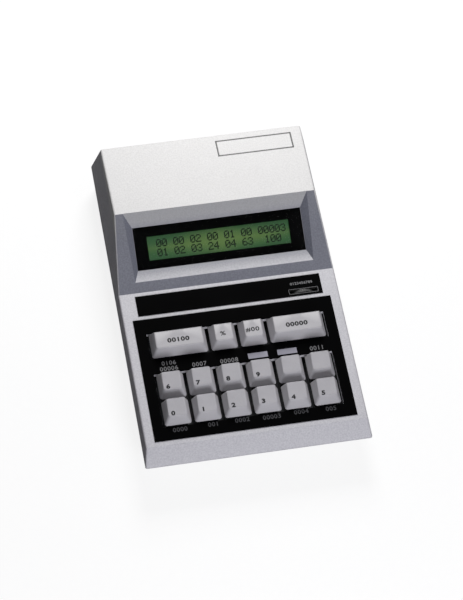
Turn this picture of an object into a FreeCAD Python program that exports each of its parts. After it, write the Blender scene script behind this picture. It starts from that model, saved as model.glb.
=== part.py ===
import FreeCAD, Part
import math
import os

Vector = FreeCAD.Vector

# A desktop tally counter: a two-part plastic case with a flat key deck, a sloped display face
# and a raised rear housing. All sizes are in millimetres. X runs to the right, Y to the rear
# and Z up. The origin is on the table under the middle of the case.

# Case outline
case_width = 144.0          # across the seam
case_depth = 227.0          # front to rear along the seam
foot_stand = 3.0            # tray underside above the table
tray_depth = 19.0           # tray underside up to the seam
seam_land = 1.0             # upright band of the cover above the seam
lip_rise = 8.3              # front lip, from the band up to the deck
lip_run = 9.6               # front lip, from the band back to the deck
deck_length = 110.6         # flat key deck
slope_run = 48.0            # display face, measured along the table
slope_rise = 21.0
rear_lean = 5.0             # top of the rear face ahead of the seam
hump_fall = 3.6             # how far the raised top drops towards the rear
cover_draft = 12.0          # degrees, sides of the cover lean inwards
tray_draft = 12.0           # degrees, sides of the tray lean inwards below the seam
nose_undercut = 35.0        # degrees, front of the tray below the seam
wall = 2.5
cover_edge_round = 1.2
tray_edge_round = 2.0

# Seam tongue and groove
tongue_height = 1.2
tongue_inset = 1.35
tongue_clearance = 0.1
tongue_headroom = 0.2

# Keys
key_pitch = 19.05
key_travel = 3.5
row_centres = (70.4, 40.75, 21.7)   # from the deck's front edge: top, middle, bottom row
key_cutout_margin = 0.1             # cut-out beyond the outer key cells
top_cutout_reach = 9.3              # half the depth of the top row's cut-out
skirt_gap = 1.1                     # from the key cell's edge to the cap's skirt
cap_height = 8.8                    # cap's rear top edge above the deck
skirt_drop = 0.2                    # skirt's lower edge below the deck
cap_wall = 1.3
cap_roof = 1.6
cap_corner = 1.2
# Top face of a cap: front edge y and z, rear edge y, and inset from the key cell's side
flat_top = (-6.1, 7.8, 5.35, 3.9)
sloped_top = (-5.4, 6.3, 5.7, 3.42)
boss_radius = 2.9
boss_bottom = 2.0                   # above the deck
stem_top = 5.9                      # above the deck
stem_cross = (4.0, 1.3)             # arm length across, arm width
stem_clearance = 0.04

# Key switches
plate_drop = 8.5            # plate's top below the deck
plate_thickness = 1.5
plate_half_width = 58.3
plate_margin = (4.9, 9.8)   # plate beyond the outer key cells, front and rear
switch_size = 13.9
switch_flange = 15.6
switch_flange_height = 1.0
switch_height = 6.6         # above the plate
switch_top = 11.2           # the housing narrows to this at its top
board_below_plate = 5.0
switch_wall = 1.2
plunger_room = 0.4          # the housing's walls thin out by this at the top
plunger_shaft = 5.6
plunger_flange = 8.4
plunger_flange_height = 1.4
slide_clearance = 0.1       # each side of the plunger in the switch's roof
stop_gap = 0.05
cutout_clearance = 0.05     # switch in the plate
spring_radius = 1.8
spring_wire = 0.35
spring_pitch = 1.25
spring_runs = 12            # straight runs in one turn
spring_bore = 2.2
spring_bore_depth = 2.6
spring_post = 1.3
spring_post_height = 4.0
spring_seat = 0.06
pin_radius = 0.45
pin_tail = 2.0              # contact pin below the key board
pin_clearance = 0.03
leaf = (0.3, 3.0, 5.0)      # contact leaf: thickness, width, height
leaf_offset = 4.9
leaf_gap = 0.02             # leaf above the switch's floor
guide_spacing = 23.8        # between the two guides of a wide key
guide_post_radius = 1.6
guide_post_end = 6.0        # below the deck
guide_clearance = 0.08
guide_tube_radius = 3.2
guide_tube_top = 2.0        # below the deck
guide_tube_spare = 1.8      # tube below the post's end when the key is down
guide_flange = (3.9, 0.8)   # radius, height on the plate

# Boards
board_thickness = 1.6
key_board_rear = 104.9      # from the deck's front edge
key_board_front = 6.0
screw_shank = 1.2
screw_length = 5.0
screw_head = (2.4, 1.8)     # radius, height
screw_slot = (3.4, 0.7, 0.8)   # cross recess: length, width, depth
thread_clearance = 0.02
pilot_depth = 4.4
post_radius = 2.4
access_radius = 3.2
plate_screw_x = 40.0
plate_screw_rows = (6.6, 55.7, 85.5)
board_screw_spots = ((-45.0, 99.5), (25.0, 99.5))

# Overlays on the deck
overlay_thickness = 0.4
panel_half_width = 64.3
panel_span = (3.2, 90.7)    # from the deck's front edge
panel_window_margin = 0.05
strip_half_width = 60.15
strip_span = (93.5, 108.05)

# Contrast wheel
contrast_slot = (38.9, 56.85, 95.4, 98.1)   # x from, x to, and from the deck's front edge
wheel_radius = 9.0
wheel_stand = 0.9           # wheel's rim above the deck
wheel_side_gap = 0.35
wheel_grooves = 40
groove_radius = 0.35
wheel_hub = (3.0, 0.5)      # hub beyond the disc: radius, length
wheel_shaft = 1.5
wheel_shaft_length = 4.5
shaft_clearance = 0.05
pot_body = (9.6, 6.0, 9.6)  # width, depth, height
pot_gap = 0.2               # hub to the body
pot_bore_spare = 0.2
pot_pin_pitch = 2.54
wheel_board_gap = 1.0

# Display, along the slope (s) and out of it (n)
window_half_width = 55.2
window_span = (14.8, 42.9)
recess_foot = (58.39, 6.9)      # lower outer corner of the recess: x, s
recess_head_x = 60.56           # upper outer corners lie on the crease
window_depth = 4.55
window_rim = 0.5
lens_thickness = 1.5
lens_margin = 1.0
lens_clearance = 0.1
mask_thickness = 0.25
view_half_width = 46.6
view_height = 15.6
view_centre = 28.6
bezel_gap = 0.1
bezel_sheet = 0.8
bezel_half_width = 51.5
bezel_height = 26.0
bezel_window_margin = 1.3
bezel_side = 0.5
glass_thickness = 2.2
glass_clearance = 0.1
backlight_thickness = 3.5
lcd_board_half_width = 62.0
lcd_board_height = 36.0
lcd_screw_x = 59.6
lcd_screw_pitch = 31.0
hopper_half_width = 62.3
hopper_span = (4.5, 54.0)
hopper_depth = 7.0

# Fixings of the case
case_screw_front = (10.2, 25.5)     # in from the case's side and from its front
case_screw_rear = (12.5, 13.5)      # in from the case's side and from its rear
case_screw_shank = 1.5
case_screw_length = 12.0
case_screw_head = (2.8, 2.2)
case_screw_slot = (4.0, 0.9, 1.1)
case_post_radius = 3.1
tray_post_radius = 4.8
tray_post_top = 14.0
counterbore_radius = 3.3
counterbore_top = 8.0
case_screw_clearance = 0.2

# Feet
foot_front = (24.0, 27.5)           # in from the case's side and from its front
foot_rear = (26.0, 14.5)            # in from the case's side and from its rear
foot_seat_gap = 0.1
foot_radius = 6.0
foot_recess = 0.6
foot_round = 0.8

# Main board in the tray
main_board_left = -54.0
main_board_size = (72.0, 69.0)
main_board_rear_gap = 1.0   # behind the board, to the rear panel
main_board_stand = 3.0
main_screw_inset = (3.0, 4.0)       # left and front screws in from the board's corner
main_screw_span = (65.0, 51.0)
main_post_extra = 0.6               # tray posts are thicker than the cover's by this

# Parts on the main board, placed from its left front corner
chips = ((14.0, 36.0, 52.0, 13.8, 40), (33.0, 34.0, 36.0, 13.8, 28), (50.0, 44.0, 20.0, 6.6, 16))
chip_lift = 0.6
chip_height = 3.6
leg_pitch = 2.54
leg_size = (0.4, 0.6, 2.6)
leg_overlap = 0.05
capacitors = ((62.0, 62.0, 4.0, 8.0), (52.0, 63.0, 3.0, 7.0), (8.0, 65.5, 3.0, 7.0))
crystal_spot = (24.0, 59.0)
crystal_size = (4.5, 11.0, 3.5)
regulator_spot = (66.0, 36.0)
regulator_case = (4.4, 10.0, 10.0)
regulator_tab = (1.2, 10.0, 16.0)
header_depth = 7.0
header_rim = 3.0                    # header beyond its cable, up and down
header_front_gap = 1.0
key_ribbon_spot = 24.0              # middle of each ribbon from the board's left edge
lcd_ribbon_spot = 53.0
lead_spot = 46.0                    # middle of the switch's lead behind the board's front
beeper_spot = (60.0, 22.0)
beeper_size = (6.0, 8.0)            # radius, height
beeper_port = (1.0, 1.5)            # radius, depth

# Rear panel with the power inlet and the switch
panel_recess_x = (-30.0, 52.0)
panel_recess_z = (6.0, 20.2)
panel_recess_depth = 3.0
panel_frame = 3.0
inlet_x = -20.0
inlet_body = (9.0, 13.0, 10.0)
inlet_bore = 3.15
inlet_bore_depth = 10.0
inlet_pin = 1.0
inlet_pin_sunk = 0.5        # pin's tip inside the mouth
inlet_hole_clearance = 0.3
switch_x = 40.0
switch_z = 13.0
rocker_frame = (15.0, 10.5, 1.2)
rocker_body = (13.2, 8.6, 12.0)
rocker_cavity = (11.8, 7.0)
rocker_depth = 2.5          # pivot behind the panel's face
rocker_half_length = 4.9
rocker_half_height = 3.3
rocker_face = 3.2           # ridge of the face from the pivot
rocker_back = 2.0
rocker_angle = 10.0
rocker_pin = 0.9
rocker_pin_reach = 4.0
rocker_pin_gap = 0.05       # beyond each end of the pin
rocker_floor = 1.5          # rear wall of the switch body
rocker_blade = (2.8, 4.0, 0.8)
rocker_blade_offset = 4.0
rocker_blade_sink = 0.5     # how far a blade runs into the body
body_clearance = 0.1

# Cables between the boards
ribbon_width = 20.3
ribbon_thickness = 0.9
lcd_ribbon_s = 14.0         # where the ribbon leaves the display board, up the slope
lcd_ribbon_bend = 6.0
key_ribbon_inset = 4.0      # from the key board's rear edge
key_ribbon_bend = 1.6
key_ribbon_run = 0.5        # straight down from the key board before the bend
lead_bend = 8.0
lead_width = 3.0
lead_thickness = 1.6

# Places worked out from the sizes above
tray_bottom = foot_stand
seam_z = tray_bottom + tray_depth
band_z = seam_z + seam_land
deck_z = band_z + lip_rise
front_y = -case_depth / 2
rear_y = case_depth / 2
deck_front = front_y + lip_run
deck_rear = deck_front + deck_length
crease_y = deck_rear + slope_run
crease_z = deck_z + slope_rise
hump_rear = rear_y - rear_lean
hump_rear_z = crease_z - hump_fall
slope_angle = math.degrees(math.atan2(slope_rise, slope_run))
slope_length = math.hypot(slope_run, slope_rise)
half_width = case_width / 2
floor_z = tray_bottom + wall
plate_z = deck_z - plate_drop
plate_under = plate_z - plate_thickness
key_board_z = plate_z - board_below_plate
main_board_z = floor_z + main_board_stand + board_thickness
key_ribbon_x = main_board_left + key_ribbon_spot
lcd_ribbon_x = main_board_left + lcd_ribbon_spot
ribbon_z = key_board_z - board_thickness - key_ribbon_run - key_ribbon_bend
panel_face_y = rear_y - panel_recess_depth
panel_inner_y = panel_face_y - wall
main_board_x = (main_board_left, main_board_left + main_board_size[0])
main_board_rear = panel_inner_y - main_board_rear_gap
main_board_y = (main_board_rear - main_board_size[1], main_board_rear)
lead_y = main_board_y[0] + lead_spot
skirt_size = key_pitch - 2 * skirt_gap
pilot_radius = screw_shank + thread_clearance


def box(x, y, z):
    """A block between the pairs of limits x, y and z."""
    size = (x[1] - x[0], y[1] - y[0], z[1] - z[0])
    return Part.makeBox(*size, Vector(x[0], y[0], z[0]))


def block(centre, size):
    """A block with its middle at centre."""
    corner = Vector(*centre) - Vector(*size) / 2
    return Part.makeBox(*size, corner)


def rod(radius, start, end):
    """A round bar from one point to another."""
    a, b = Vector(*start), Vector(*end)
    return Part.makeCylinder(radius, (b - a).Length, a, b - a)


def group(solids):
    return Part.makeCompound(solids)


def fused(first, *others):
    return first.multiFuse(list(others)).removeSplitter()


def outline(points):
    """A closed face through a list of corner points."""
    return Part.Face(Part.makePolygon([Vector(*p) for p in points + points[:1]]))


def inset_corners(corners, insets):
    """Moves each edge of a polygon inwards by its own inset. The corners run clockwise."""
    count = len(corners)
    lines = []
    for i in range(count):
        (y0, z0), (y1, z1) = corners[i], corners[(i + 1) % count]
        length = math.hypot(y1 - y0, z1 - z0)
        ny, nz = (z1 - z0) / length, -(y1 - y0) / length
        lines.append((ny, nz, ny * y0 + nz * z0 + insets[i]))
    moved = []
    for i in range(count):
        a1, b1, c1 = lines[i - 1]
        a2, b2, c2 = lines[i]
        det = a1 * b2 - a2 * b1
        moved.append(((c1 * b2 - c2 * b1) / det, (a1 * c2 - a2 * c1) / det))
    return moved


def shell_form(profile, section, inset, overrun):
    """The solid shared by a side profile pushed across X and a front section pushed along Y.
    The last edge of both outlines is the seam: it moves out by overrun, the others in by inset."""
    sides = [inset] * (len(profile) - 1) + [-overrun]
    side = inset_corners(profile, sides)
    front = inset_corners(section, [inset] * (len(section) - 1) + [-overrun])
    long_body = outline([(-case_width, y, z) for y, z in side]).extrude(Vector(2 * case_width, 0, 0))
    wide_body = outline([(x, -case_depth, z) for x, z in front]).extrude(Vector(0, 2 * case_depth, 0))
    return long_body.common(wide_body)


def on_slope(shape):
    """Places a shape drawn with X across, Y up the slope and Z out of it."""
    placed = shape.copy()
    placed.rotate(Vector(0, 0, 0), Vector(1, 0, 0), slope_angle)
    placed.translate(Vector(0, deck_rear, deck_z))
    return placed


def from_deck(distance):
    """The Y of a point a distance behind the deck's front edge."""
    return deck_front + distance


def key_cells():
    """Name, x, y, width in key units and row kind of each key."""
    cells = []
    top, middle, bottom = [from_deck(v) for v in row_centres]
    cells.append(("wide_left", -2 * key_pitch, top, 2, flat_top))
    cells.append(("percent", -0.5 * key_pitch, top, 1, flat_top))
    cells.append(("hash", 0.5 * key_pitch, top, 1, flat_top))
    cells.append(("wide_right", 2 * key_pitch, top, 2, flat_top))
    for column in range(6):
        x = (column - 2.5) * key_pitch
        cells.append((str(column), x, bottom, 1, sloped_top))
        name = str(column + 6) if column < 4 else ("blank_left", "blank_right")[column - 4]
        cells.append((name, x, middle, 1, sloped_top))
    return cells


def key_cutouts(extra):
    """The two openings over the key rows, as x and y limits, each side wider by extra."""
    side = 3 * key_pitch + key_cutout_margin + extra
    top, middle, bottom = [from_deck(v) for v in row_centres]
    top_reach = top_cutout_reach + extra
    reach = key_pitch / 2 + extra
    return [((-side, side), (top - top_reach, top + top_reach)),
            ((-side, side), (bottom - reach, middle + reach))]


# Case shells
cover_profile = [
    (front_y, seam_z), (front_y, band_z), (deck_front, deck_z), (deck_rear, deck_z),
    (crease_y, crease_z), (hump_rear, hump_rear_z), (rear_y, band_z), (rear_y, seam_z),
]
roof_z = crease_z + wall
cover_lean = (roof_z - band_z) * math.tan(math.radians(cover_draft))
cover_section = [
    (-half_width, seam_z), (-half_width, band_z), (-half_width + cover_lean, roof_z),
    (half_width - cover_lean, roof_z), (half_width, band_z), (half_width, seam_z),
]
tray_lean = tray_depth * math.tan(math.radians(tray_draft))
nose_run = tray_depth * math.tan(math.radians(nose_undercut))
tray_profile = [
    (rear_y, seam_z), (rear_y, tray_bottom), (front_y + nose_run, tray_bottom), (front_y, seam_z),
]
tray_section = [
    (half_width, seam_z), (half_width - tray_lean, tray_bottom),
    (-half_width + tray_lean, tray_bottom), (-half_width, seam_z),
]


def cover_outside():
    """The cover's outer form with its outward edges rounded. The two creases stay sharp."""
    body = shell_form(cover_profile, cover_section, 0, 0)
    chosen = []
    for edge in body.Edges:
        a, b = edge.Vertexes[0].Point, edge.Vertexes[-1].Point
        level = abs(a.z - b.z) < 0.01
        across = abs(a.x - b.x) > half_width
        crease = across and min(abs(a.y - deck_rear), abs(a.y - crease_y)) < 0.1
        seam = level and a.z < band_z + 0.01
        if not crease and not seam:
            chosen.append(edge)
    return body.makeFillet(cover_edge_round, chosen)


def hopper():
    """The thick surround under the slope that carries the display window."""
    depth = (-hopper_depth, 0)
    return on_slope(box((-hopper_half_width, hopper_half_width), hopper_span, depth))


def display_recess():
    """The sunk bay above the window, its rim, and the seat for the window behind the rim."""
    foot_x, foot_s = recess_foot
    top = [(-foot_x, foot_s, 0), (foot_x, foot_s, 0),
           (recess_head_x, slope_length, 0), (-recess_head_x, slope_length, 0)]
    low, high = window_span
    sill = [(-window_half_width, low, -window_depth), (window_half_width, low, -window_depth),
            (window_half_width, high, -window_depth), (-window_half_width, high, -window_depth)]
    rings = [Part.makePolygon([Vector(*p) for p in ring + ring[:1]]) for ring in (sill, top)]
    bay = Part.makeLoft(rings, True, True)
    across = (-window_half_width, window_half_width)
    rim_back = -window_depth - window_rim
    rim = box(across, window_span, (rim_back, -window_depth))
    seat_edge = lens_margin + lens_clearance
    seat = box((across[0] - seat_edge, across[1] + seat_edge),
               (low - seat_edge, high + seat_edge), (-hopper_depth - wall, rim_back))
    return [on_slope(shape) for shape in (bay, rim, seat)]


def lcd_stack():
    """Distance out of the slope of each face of the display, from the window inwards."""
    lens_face = -window_depth - window_rim
    mask_face = lens_face - lens_thickness
    bezel_face = mask_face - mask_thickness - bezel_gap
    glass_face = bezel_face - bezel_sheet
    light_face = glass_face - glass_thickness
    board_face = light_face - backlight_thickness
    return lens_face, mask_face, bezel_face, glass_face, light_face, board_face


def lcd_screw_places():
    return [(x, view_centre + s * lcd_screw_pitch / 2)
            for x in (-lcd_screw_x, lcd_screw_x) for s in (-1, 1)]


def from_edges(front, rear):
    """Four mirrored places, given by how far they lie in from the side and from each end."""
    spots = [(half_width - front[0], front_y + front[1]), (half_width - rear[0], rear_y - rear[1])]
    return [(side * x, y) for side in (-1, 1) for x, y in spots]


def case_screw_places():
    return from_edges(case_screw_front, case_screw_rear)


def plate_screw_places():
    return [(x, from_deck(v)) for x in (-plate_screw_x, plate_screw_x) for v in plate_screw_rows]


def board_screw_places():
    return [(x, from_deck(v)) for x, v in board_screw_spots]


def main_screw_places():
    left, front = main_board_x[0] + main_screw_inset[0], main_board_y[0] + main_screw_inset[1]
    return [(left + i * main_screw_span[0], front + j * main_screw_span[1]) for i in (0, 1) for j in (0, 1)]


def post_with_pilot(radius, x, y, bottom, top):
    """A screw post and its blind hole, open at the bottom."""
    post = rod(radius, (x, y, bottom), (x, y, top))
    return post, rod(pilot_radius, (x, y, bottom - 1), (x, y, bottom + pilot_depth))


def top_cover():
    outside = cover_outside()
    inside = shell_form(cover_profile, cover_section, wall, 1)
    shell = outside.cut(inside)
    adds, cuts = [hopper()], display_recess()
    for x, y in plate_screw_places():
        post, pilot = post_with_pilot(post_radius, x, y, plate_z, deck_z - wall / 2)
        adds.append(post)
        cuts.append(pilot)
    for x, y in board_screw_places():
        post, pilot = post_with_pilot(post_radius, x, y, key_board_z, deck_z - wall / 2)
        adds.append(post)
        cuts.append(pilot)
    board_face = lcd_stack()[-1]
    for x, s in lcd_screw_places():
        adds.append(on_slope(rod(post_radius, (x, s, board_face), (x, s, -hopper_depth + 1))))
        cuts.append(on_slope(rod(pilot_radius, (x, s, board_face - 1), (x, s, board_face + pilot_depth))))
    for x, y in case_screw_places():
        adds.append(rod(case_post_radius, (x, y, tray_post_top), (x, y, roof_z)))
        reach = case_screw_length + counterbore_top + 1
        cuts.append(rod(case_screw_shank + thread_clearance, (x, y, 0), (x, y, reach)))
    adds = [shape.common(cover_reach(outside)) for shape in adds]
    shell = shell.multiFuse(adds)
    for across, along in key_cutouts(0):
        cuts.append(box(across, along, (deck_z - 2 * wall, deck_z + 1)))
    x0, x1, v0, v1 = contrast_slot
    cuts.append(box((x0, x1), (from_deck(v0), from_deck(v1)), (deck_z - 2 * wall, deck_z + 1)))
    groove = tongue_inset - tongue_clearance
    across = (-half_width + groove, half_width - groove)
    along = (front_y + groove, rear_y - groove)
    cuts.append(box(across, along, (seam_z - 1, seam_z + tongue_height + tongue_headroom)).cut(
        core_block(across, along)))
    return shell.cut(group(cuts)).removeSplitter()


def cover_reach(outside):
    """The cover's outer form carried down into the tray, so posts can hang below the seam."""
    hanging = box((-half_width + wall, half_width - wall), (front_y + wall, rear_y - wall),
                  (tray_post_top, seam_z + 0.5))
    return outside.fuse(hanging)


def core_block(across, along):
    """The middle of the case inside the seam groove, which the groove leaves alone."""
    inner = wall
    return box((across[0] + inner, across[1] - inner), (along[0] + inner, along[1] - inner),
               (seam_z - 2, seam_z + 5))


def base_tray():
    outside = shell_form(tray_profile, tray_section, 0, 0)
    chosen = []
    for edge in outside.Edges:
        a, b = edge.Vertexes[0].Point, edge.Vertexes[-1].Point
        if min(a.z, b.z) < tray_bottom + 0.01:
            chosen.append(edge)
    outside = outside.makeFillet(tray_edge_round, chosen)
    inside = shell_form(tray_profile, tray_section, wall, 1)
    shell = outside.cut(inside)
    across = (-half_width + tongue_inset, half_width - tongue_inset)
    along = (front_y + tongue_inset, rear_y - tongue_inset)
    tongue = box(across, along, (seam_z - 1, seam_z + tongue_height))
    hollow = box((-half_width + wall, half_width - wall), (front_y + wall, rear_y - wall),
                 (seam_z - 2, seam_z + tongue_height + 1))
    adds = [tongue.cut(hollow)]
    frame_x = (panel_recess_x[0] - panel_frame, panel_recess_x[1] + panel_frame)
    adds.append(box(frame_x, (panel_inner_y, rear_y - wall / 2), (floor_z - 1, seam_z)))
    cuts = [box(panel_recess_x, (panel_face_y, rear_y + 1), panel_recess_z)]
    inlet_z = main_board_z + inlet_body[2] / 2
    hole = inlet_bore + inlet_hole_clearance
    cuts.append(rod(hole, (inlet_x, panel_inner_y - 1, inlet_z), (inlet_x, rear_y + 1, inlet_z)))
    cutout = (rocker_body[0] + 2 * body_clearance, 6 * wall, rocker_body[1] + 2 * body_clearance)
    cuts.append(block((switch_x, panel_inner_y, switch_z), cutout))
    for x, y in case_screw_places():
        adds.append(rod(tray_post_radius, (x, y, floor_z - 1), (x, y, tray_post_top)))
        cuts.append(rod(counterbore_radius, (x, y, 0), (x, y, counterbore_top)))
        cuts.append(rod(case_screw_shank + case_screw_clearance, (x, y, 0), (x, y, tray_post_top + 1)))
    for x, y in main_screw_places():
        top = floor_z + main_board_stand
        adds.append(rod(post_radius + main_post_extra, (x, y, floor_z - 1), (x, y, top)))
        cuts.append(rod(pilot_radius, (x, y, top - pilot_depth), (x, y, top + 1)))
    for x, y in from_edges(foot_front, foot_rear):
        cuts.append(rod(foot_radius, (x, y, 0), (x, y, tray_bottom + foot_recess)))
    adds = [shape.common(tray_reach(outside)) for shape in adds]
    return shell.multiFuse(adds).cut(group(cuts)).removeSplitter()


def tray_reach(outside):
    """The tray's outer form with room above the seam for the tongue."""
    return outside.fuse(box((-half_width + 1, half_width - 1), (front_y + 1, rear_y - 1),
                            (seam_z - 0.5, seam_z + tongue_height)))


def rubber_feet():
    feet = []
    for x, y in from_edges(foot_front, foot_rear):
        foot = rod(foot_radius - foot_seat_gap, (x, y, 0), (x, y, tray_bottom + foot_recess))
        rim = [e for e in foot.Edges if e.BoundBox.ZMax < 0.01]
        feet.append(foot.makeFillet(foot_round, rim))
    return group(feet)


def screw(x, y, seat, up, shank, length, head, slot):
    """A pan-head screw with a cross recess. up is 1 when the shank points up, or -1 when down."""
    head_radius, head_height = head
    body = fused(rod(shank, (x, y, seat), (x, y, seat + up * length)),
                 rod(head_radius, (x, y, seat - up * head_height), (x, y, seat)))
    long_side, width, depth = slot
    face = seat - up * head_height
    for size in ((long_side, width, 2 * depth), (width, long_side, 2 * depth)):
        body = body.cut(block((x, y, face), size))
    return body


def board_screws():
    small = (screw_shank, screw_length, screw_head, screw_slot)
    screws = [screw(x, y, plate_under, 1, *small) for x, y in plate_screw_places()]
    screws += [screw(x, y, key_board_z - board_thickness, 1, *small) for x, y in board_screw_places()]
    screws += [screw(x, y, main_board_z, -1, *small) for x, y in main_screw_places()]
    back = lcd_stack()[-1] - board_thickness
    screws += [on_slope(screw(x, s, back, 1, *small)) for x, s in lcd_screw_places()]
    return group(screws)


def case_screws():
    return group([screw(x, y, counterbore_top, 1, case_screw_shank, case_screw_length,
                        case_screw_head, case_screw_slot) for x, y in case_screw_places()])


# Overlays
def keypad_overlay():
    sheet = box((-panel_half_width, panel_half_width), [from_deck(v) for v in panel_span],
                (deck_z, deck_z + overlay_thickness))
    for across, along in key_cutouts(panel_window_margin):
        sheet = sheet.cut(box(across, along, (deck_z - 1, deck_z + 1)))
    return sheet


def strip_overlay():
    sheet = box((-strip_half_width, strip_half_width), [from_deck(v) for v in strip_span],
                (deck_z, deck_z + overlay_thickness))
    x0, x1, v0, v1 = contrast_slot
    return sheet.cut(box((x0, x1), (from_deck(v0), from_deck(v1)), (deck_z - 1, deck_z + 1)))


# Display
def display_window():
    face = lcd_stack()[0]
    low, high = window_span
    reach = window_half_width + lens_margin
    return on_slope(box((-reach, reach), (low - lens_margin, high + lens_margin),
                        (face - lens_thickness, face)))


def display_mask():
    face = lcd_stack()[1]
    low, high = window_span
    reach = window_half_width + lens_margin
    film = box((-reach, reach), (low - lens_margin, high + lens_margin), (face - mask_thickness, face))
    view = block((0, view_centre, face), (2 * view_half_width, view_height, 2))
    return on_slope(film.cut(view))


def lcd_bezel():
    """A folded metal frame around the display glass, with four tabs through the board."""
    _, _, face, _, _, board_face = lcd_stack()
    size = (2 * bezel_half_width, bezel_height)
    outer = block((0, view_centre, (face + board_face) / 2), size + (face - board_face,))
    depth = face - bezel_sheet - board_face + 1
    inner = block((0, view_centre, face - bezel_sheet - depth / 2),
                  (size[0] - 2 * bezel_side, size[1] - 2 * bezel_side, depth))
    view = (2 * (view_half_width + bezel_window_margin), view_height + 2 * bezel_window_margin, 4)
    return on_slope(outer.cut(inner).cut(block((0, view_centre, face), view)))


def bezel_filling(face, thickness):
    """A plate that fills the inside of the metal frame."""
    size = (2 * (bezel_half_width - bezel_side - glass_clearance),
            bezel_height - 2 * (bezel_side + glass_clearance), thickness)
    return on_slope(block((0, view_centre, face - thickness / 2), size))


def lcd_glass():
    return bezel_filling(lcd_stack()[3], glass_thickness)


def lcd_backlight():
    return bezel_filling(lcd_stack()[4], backlight_thickness)


def lcd_board():
    face = lcd_stack()[5]
    board = block((0, view_centre, face - board_thickness / 2),
                  (2 * lcd_board_half_width, lcd_board_height, board_thickness))
    for x, s in lcd_screw_places():
        board = board.cut(rod(screw_shank + case_screw_clearance, (x, s, face - 5), (x, s, face + 5)))
    return on_slope(board)


# Contrast control
def wheel_centre():
    x0, x1, v0, v1 = contrast_slot
    return (x0 + x1) / 2, from_deck((v0 + v1) / 2), deck_z + wheel_stand - wheel_radius


def wheel_thickness():
    return contrast_slot[3] - contrast_slot[2] - 2 * wheel_side_gap


def contrast_wheel():
    x, y, z = wheel_centre()
    half = wheel_thickness() / 2
    disc = rod(wheel_radius, (x, y - half, z), (x, y + half, z))
    grooves = []
    for i in range(wheel_grooves):
        turn = 2 * math.pi * i / wheel_grooves
        gx, gz = x + wheel_radius * math.sin(turn), z + wheel_radius * math.cos(turn)
        grooves.append(rod(groove_radius, (gx, y - half - 1, gz), (gx, y + half + 1, gz)))
    disc = disc.cut(group(grooves))
    hub_radius, hub_step = wheel_hub
    hub_end = y + half + hub_step
    hub = rod(hub_radius, (x, y + half, z), (x, hub_end, z))
    shaft = rod(wheel_shaft, (x, y, z), (x, hub_end + wheel_shaft_length, z))
    return fused(disc, hub, shaft)


def pot_front():
    return wheel_centre()[1] + wheel_thickness() / 2 + wheel_hub[1] + pot_gap


def pot_pins():
    x = wheel_centre()[0]
    return [(x + side * pot_pin_pitch, pot_front() + pot_body[1] / 2) for side in (-1, 0, 1)]


def contrast_pot():
    x, _, z = wheel_centre()
    width, depth, height = pot_body
    front = pot_front()
    body = box((x - width / 2, x + width / 2), (front, front + depth), (key_board_z, key_board_z + height))
    bore_end = front + wheel_shaft_length + pot_bore_spare
    body = body.cut(rod(wheel_shaft + shaft_clearance, (x, front - 1, z), (x, bore_end, z)))
    for px, py in pot_pins():
        body = body.fuse(rod(pin_radius, (px, py, key_board_z - board_thickness - pin_tail), (px, py, key_board_z)))
    return body


# Key switches
def tapered(x, y, low, high):
    """A square block that narrows upwards. low and high are a width and a height each."""
    rings = []
    for width, z in (low, high):
        half = width / 2
        corners = [Vector(x + a * half, y + b * half, z) for a, b in ((-1, -1), (1, -1), (1, 1), (-1, 1))]
        rings.append(Part.makePolygon(corners + corners[:1]))
    return Part.makeLoft(rings, True, True)


def key_plate():
    top, _, bottom = [from_deck(v) for v in row_centres]
    plate = box((-plate_half_width, plate_half_width),
                (bottom - key_pitch / 2 - plate_margin[0], top + key_pitch / 2 + plate_margin[1]),
                (plate_under, plate_z))
    holes = []
    opening = switch_size + 2 * cutout_clearance
    for name, x, y, units, kind in key_cells():
        holes.append(block((x, y, plate_under), (opening, opening, 4 * plate_thickness)))
        for gx in guide_places(x, units):
            holes.append(rod(guide_tube_radius + cutout_clearance, (gx, y, plate_under - 1), (gx, y, plate_z + 1)))
    for x, y in plate_screw_places():
        holes.append(rod(screw_shank + case_screw_clearance, (x, y, plate_under - 1), (x, y, plate_z + 1)))
    return plate.cut(group(holes))


def guide_places(x, units):
    return [] if units == 1 else [x - guide_spacing / 2, x + guide_spacing / 2]


def contact_places(x, y):
    return [(x - leaf_offset, y), (x + leaf_offset, y)]


def key_board():
    board = box((-plate_half_width, plate_half_width),
                (from_deck(key_board_front), from_deck(key_board_rear)),
                (key_board_z - board_thickness, key_board_z))
    low, high = key_board_z - board_thickness - 1, key_board_z + 1
    holes = []
    for name, x, y, units, kind in key_cells():
        for cx, cy in contact_places(x, y):
            holes.append(rod(pin_radius + pin_clearance, (cx, cy, low), (cx, cy, high)))
    for x, y in plate_screw_places():
        holes.append(rod(access_radius, (x, y, low), (x, y, high)))
    for x, y in board_screw_places():
        holes.append(rod(screw_shank + case_screw_clearance, (x, y, low), (x, y, high)))
    x, y, _ = wheel_centre()
    slot = (2 * (wheel_radius + wheel_board_gap), wheel_thickness() + 2 * wheel_board_gap, 8)
    holes.append(block((x, y, key_board_z), slot))
    for cx, cy in pot_pins():
        holes.append(rod(pin_radius + pin_clearance, (cx, cy, low), (cx, cy, high)))
    return board.cut(group(holes))


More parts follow.
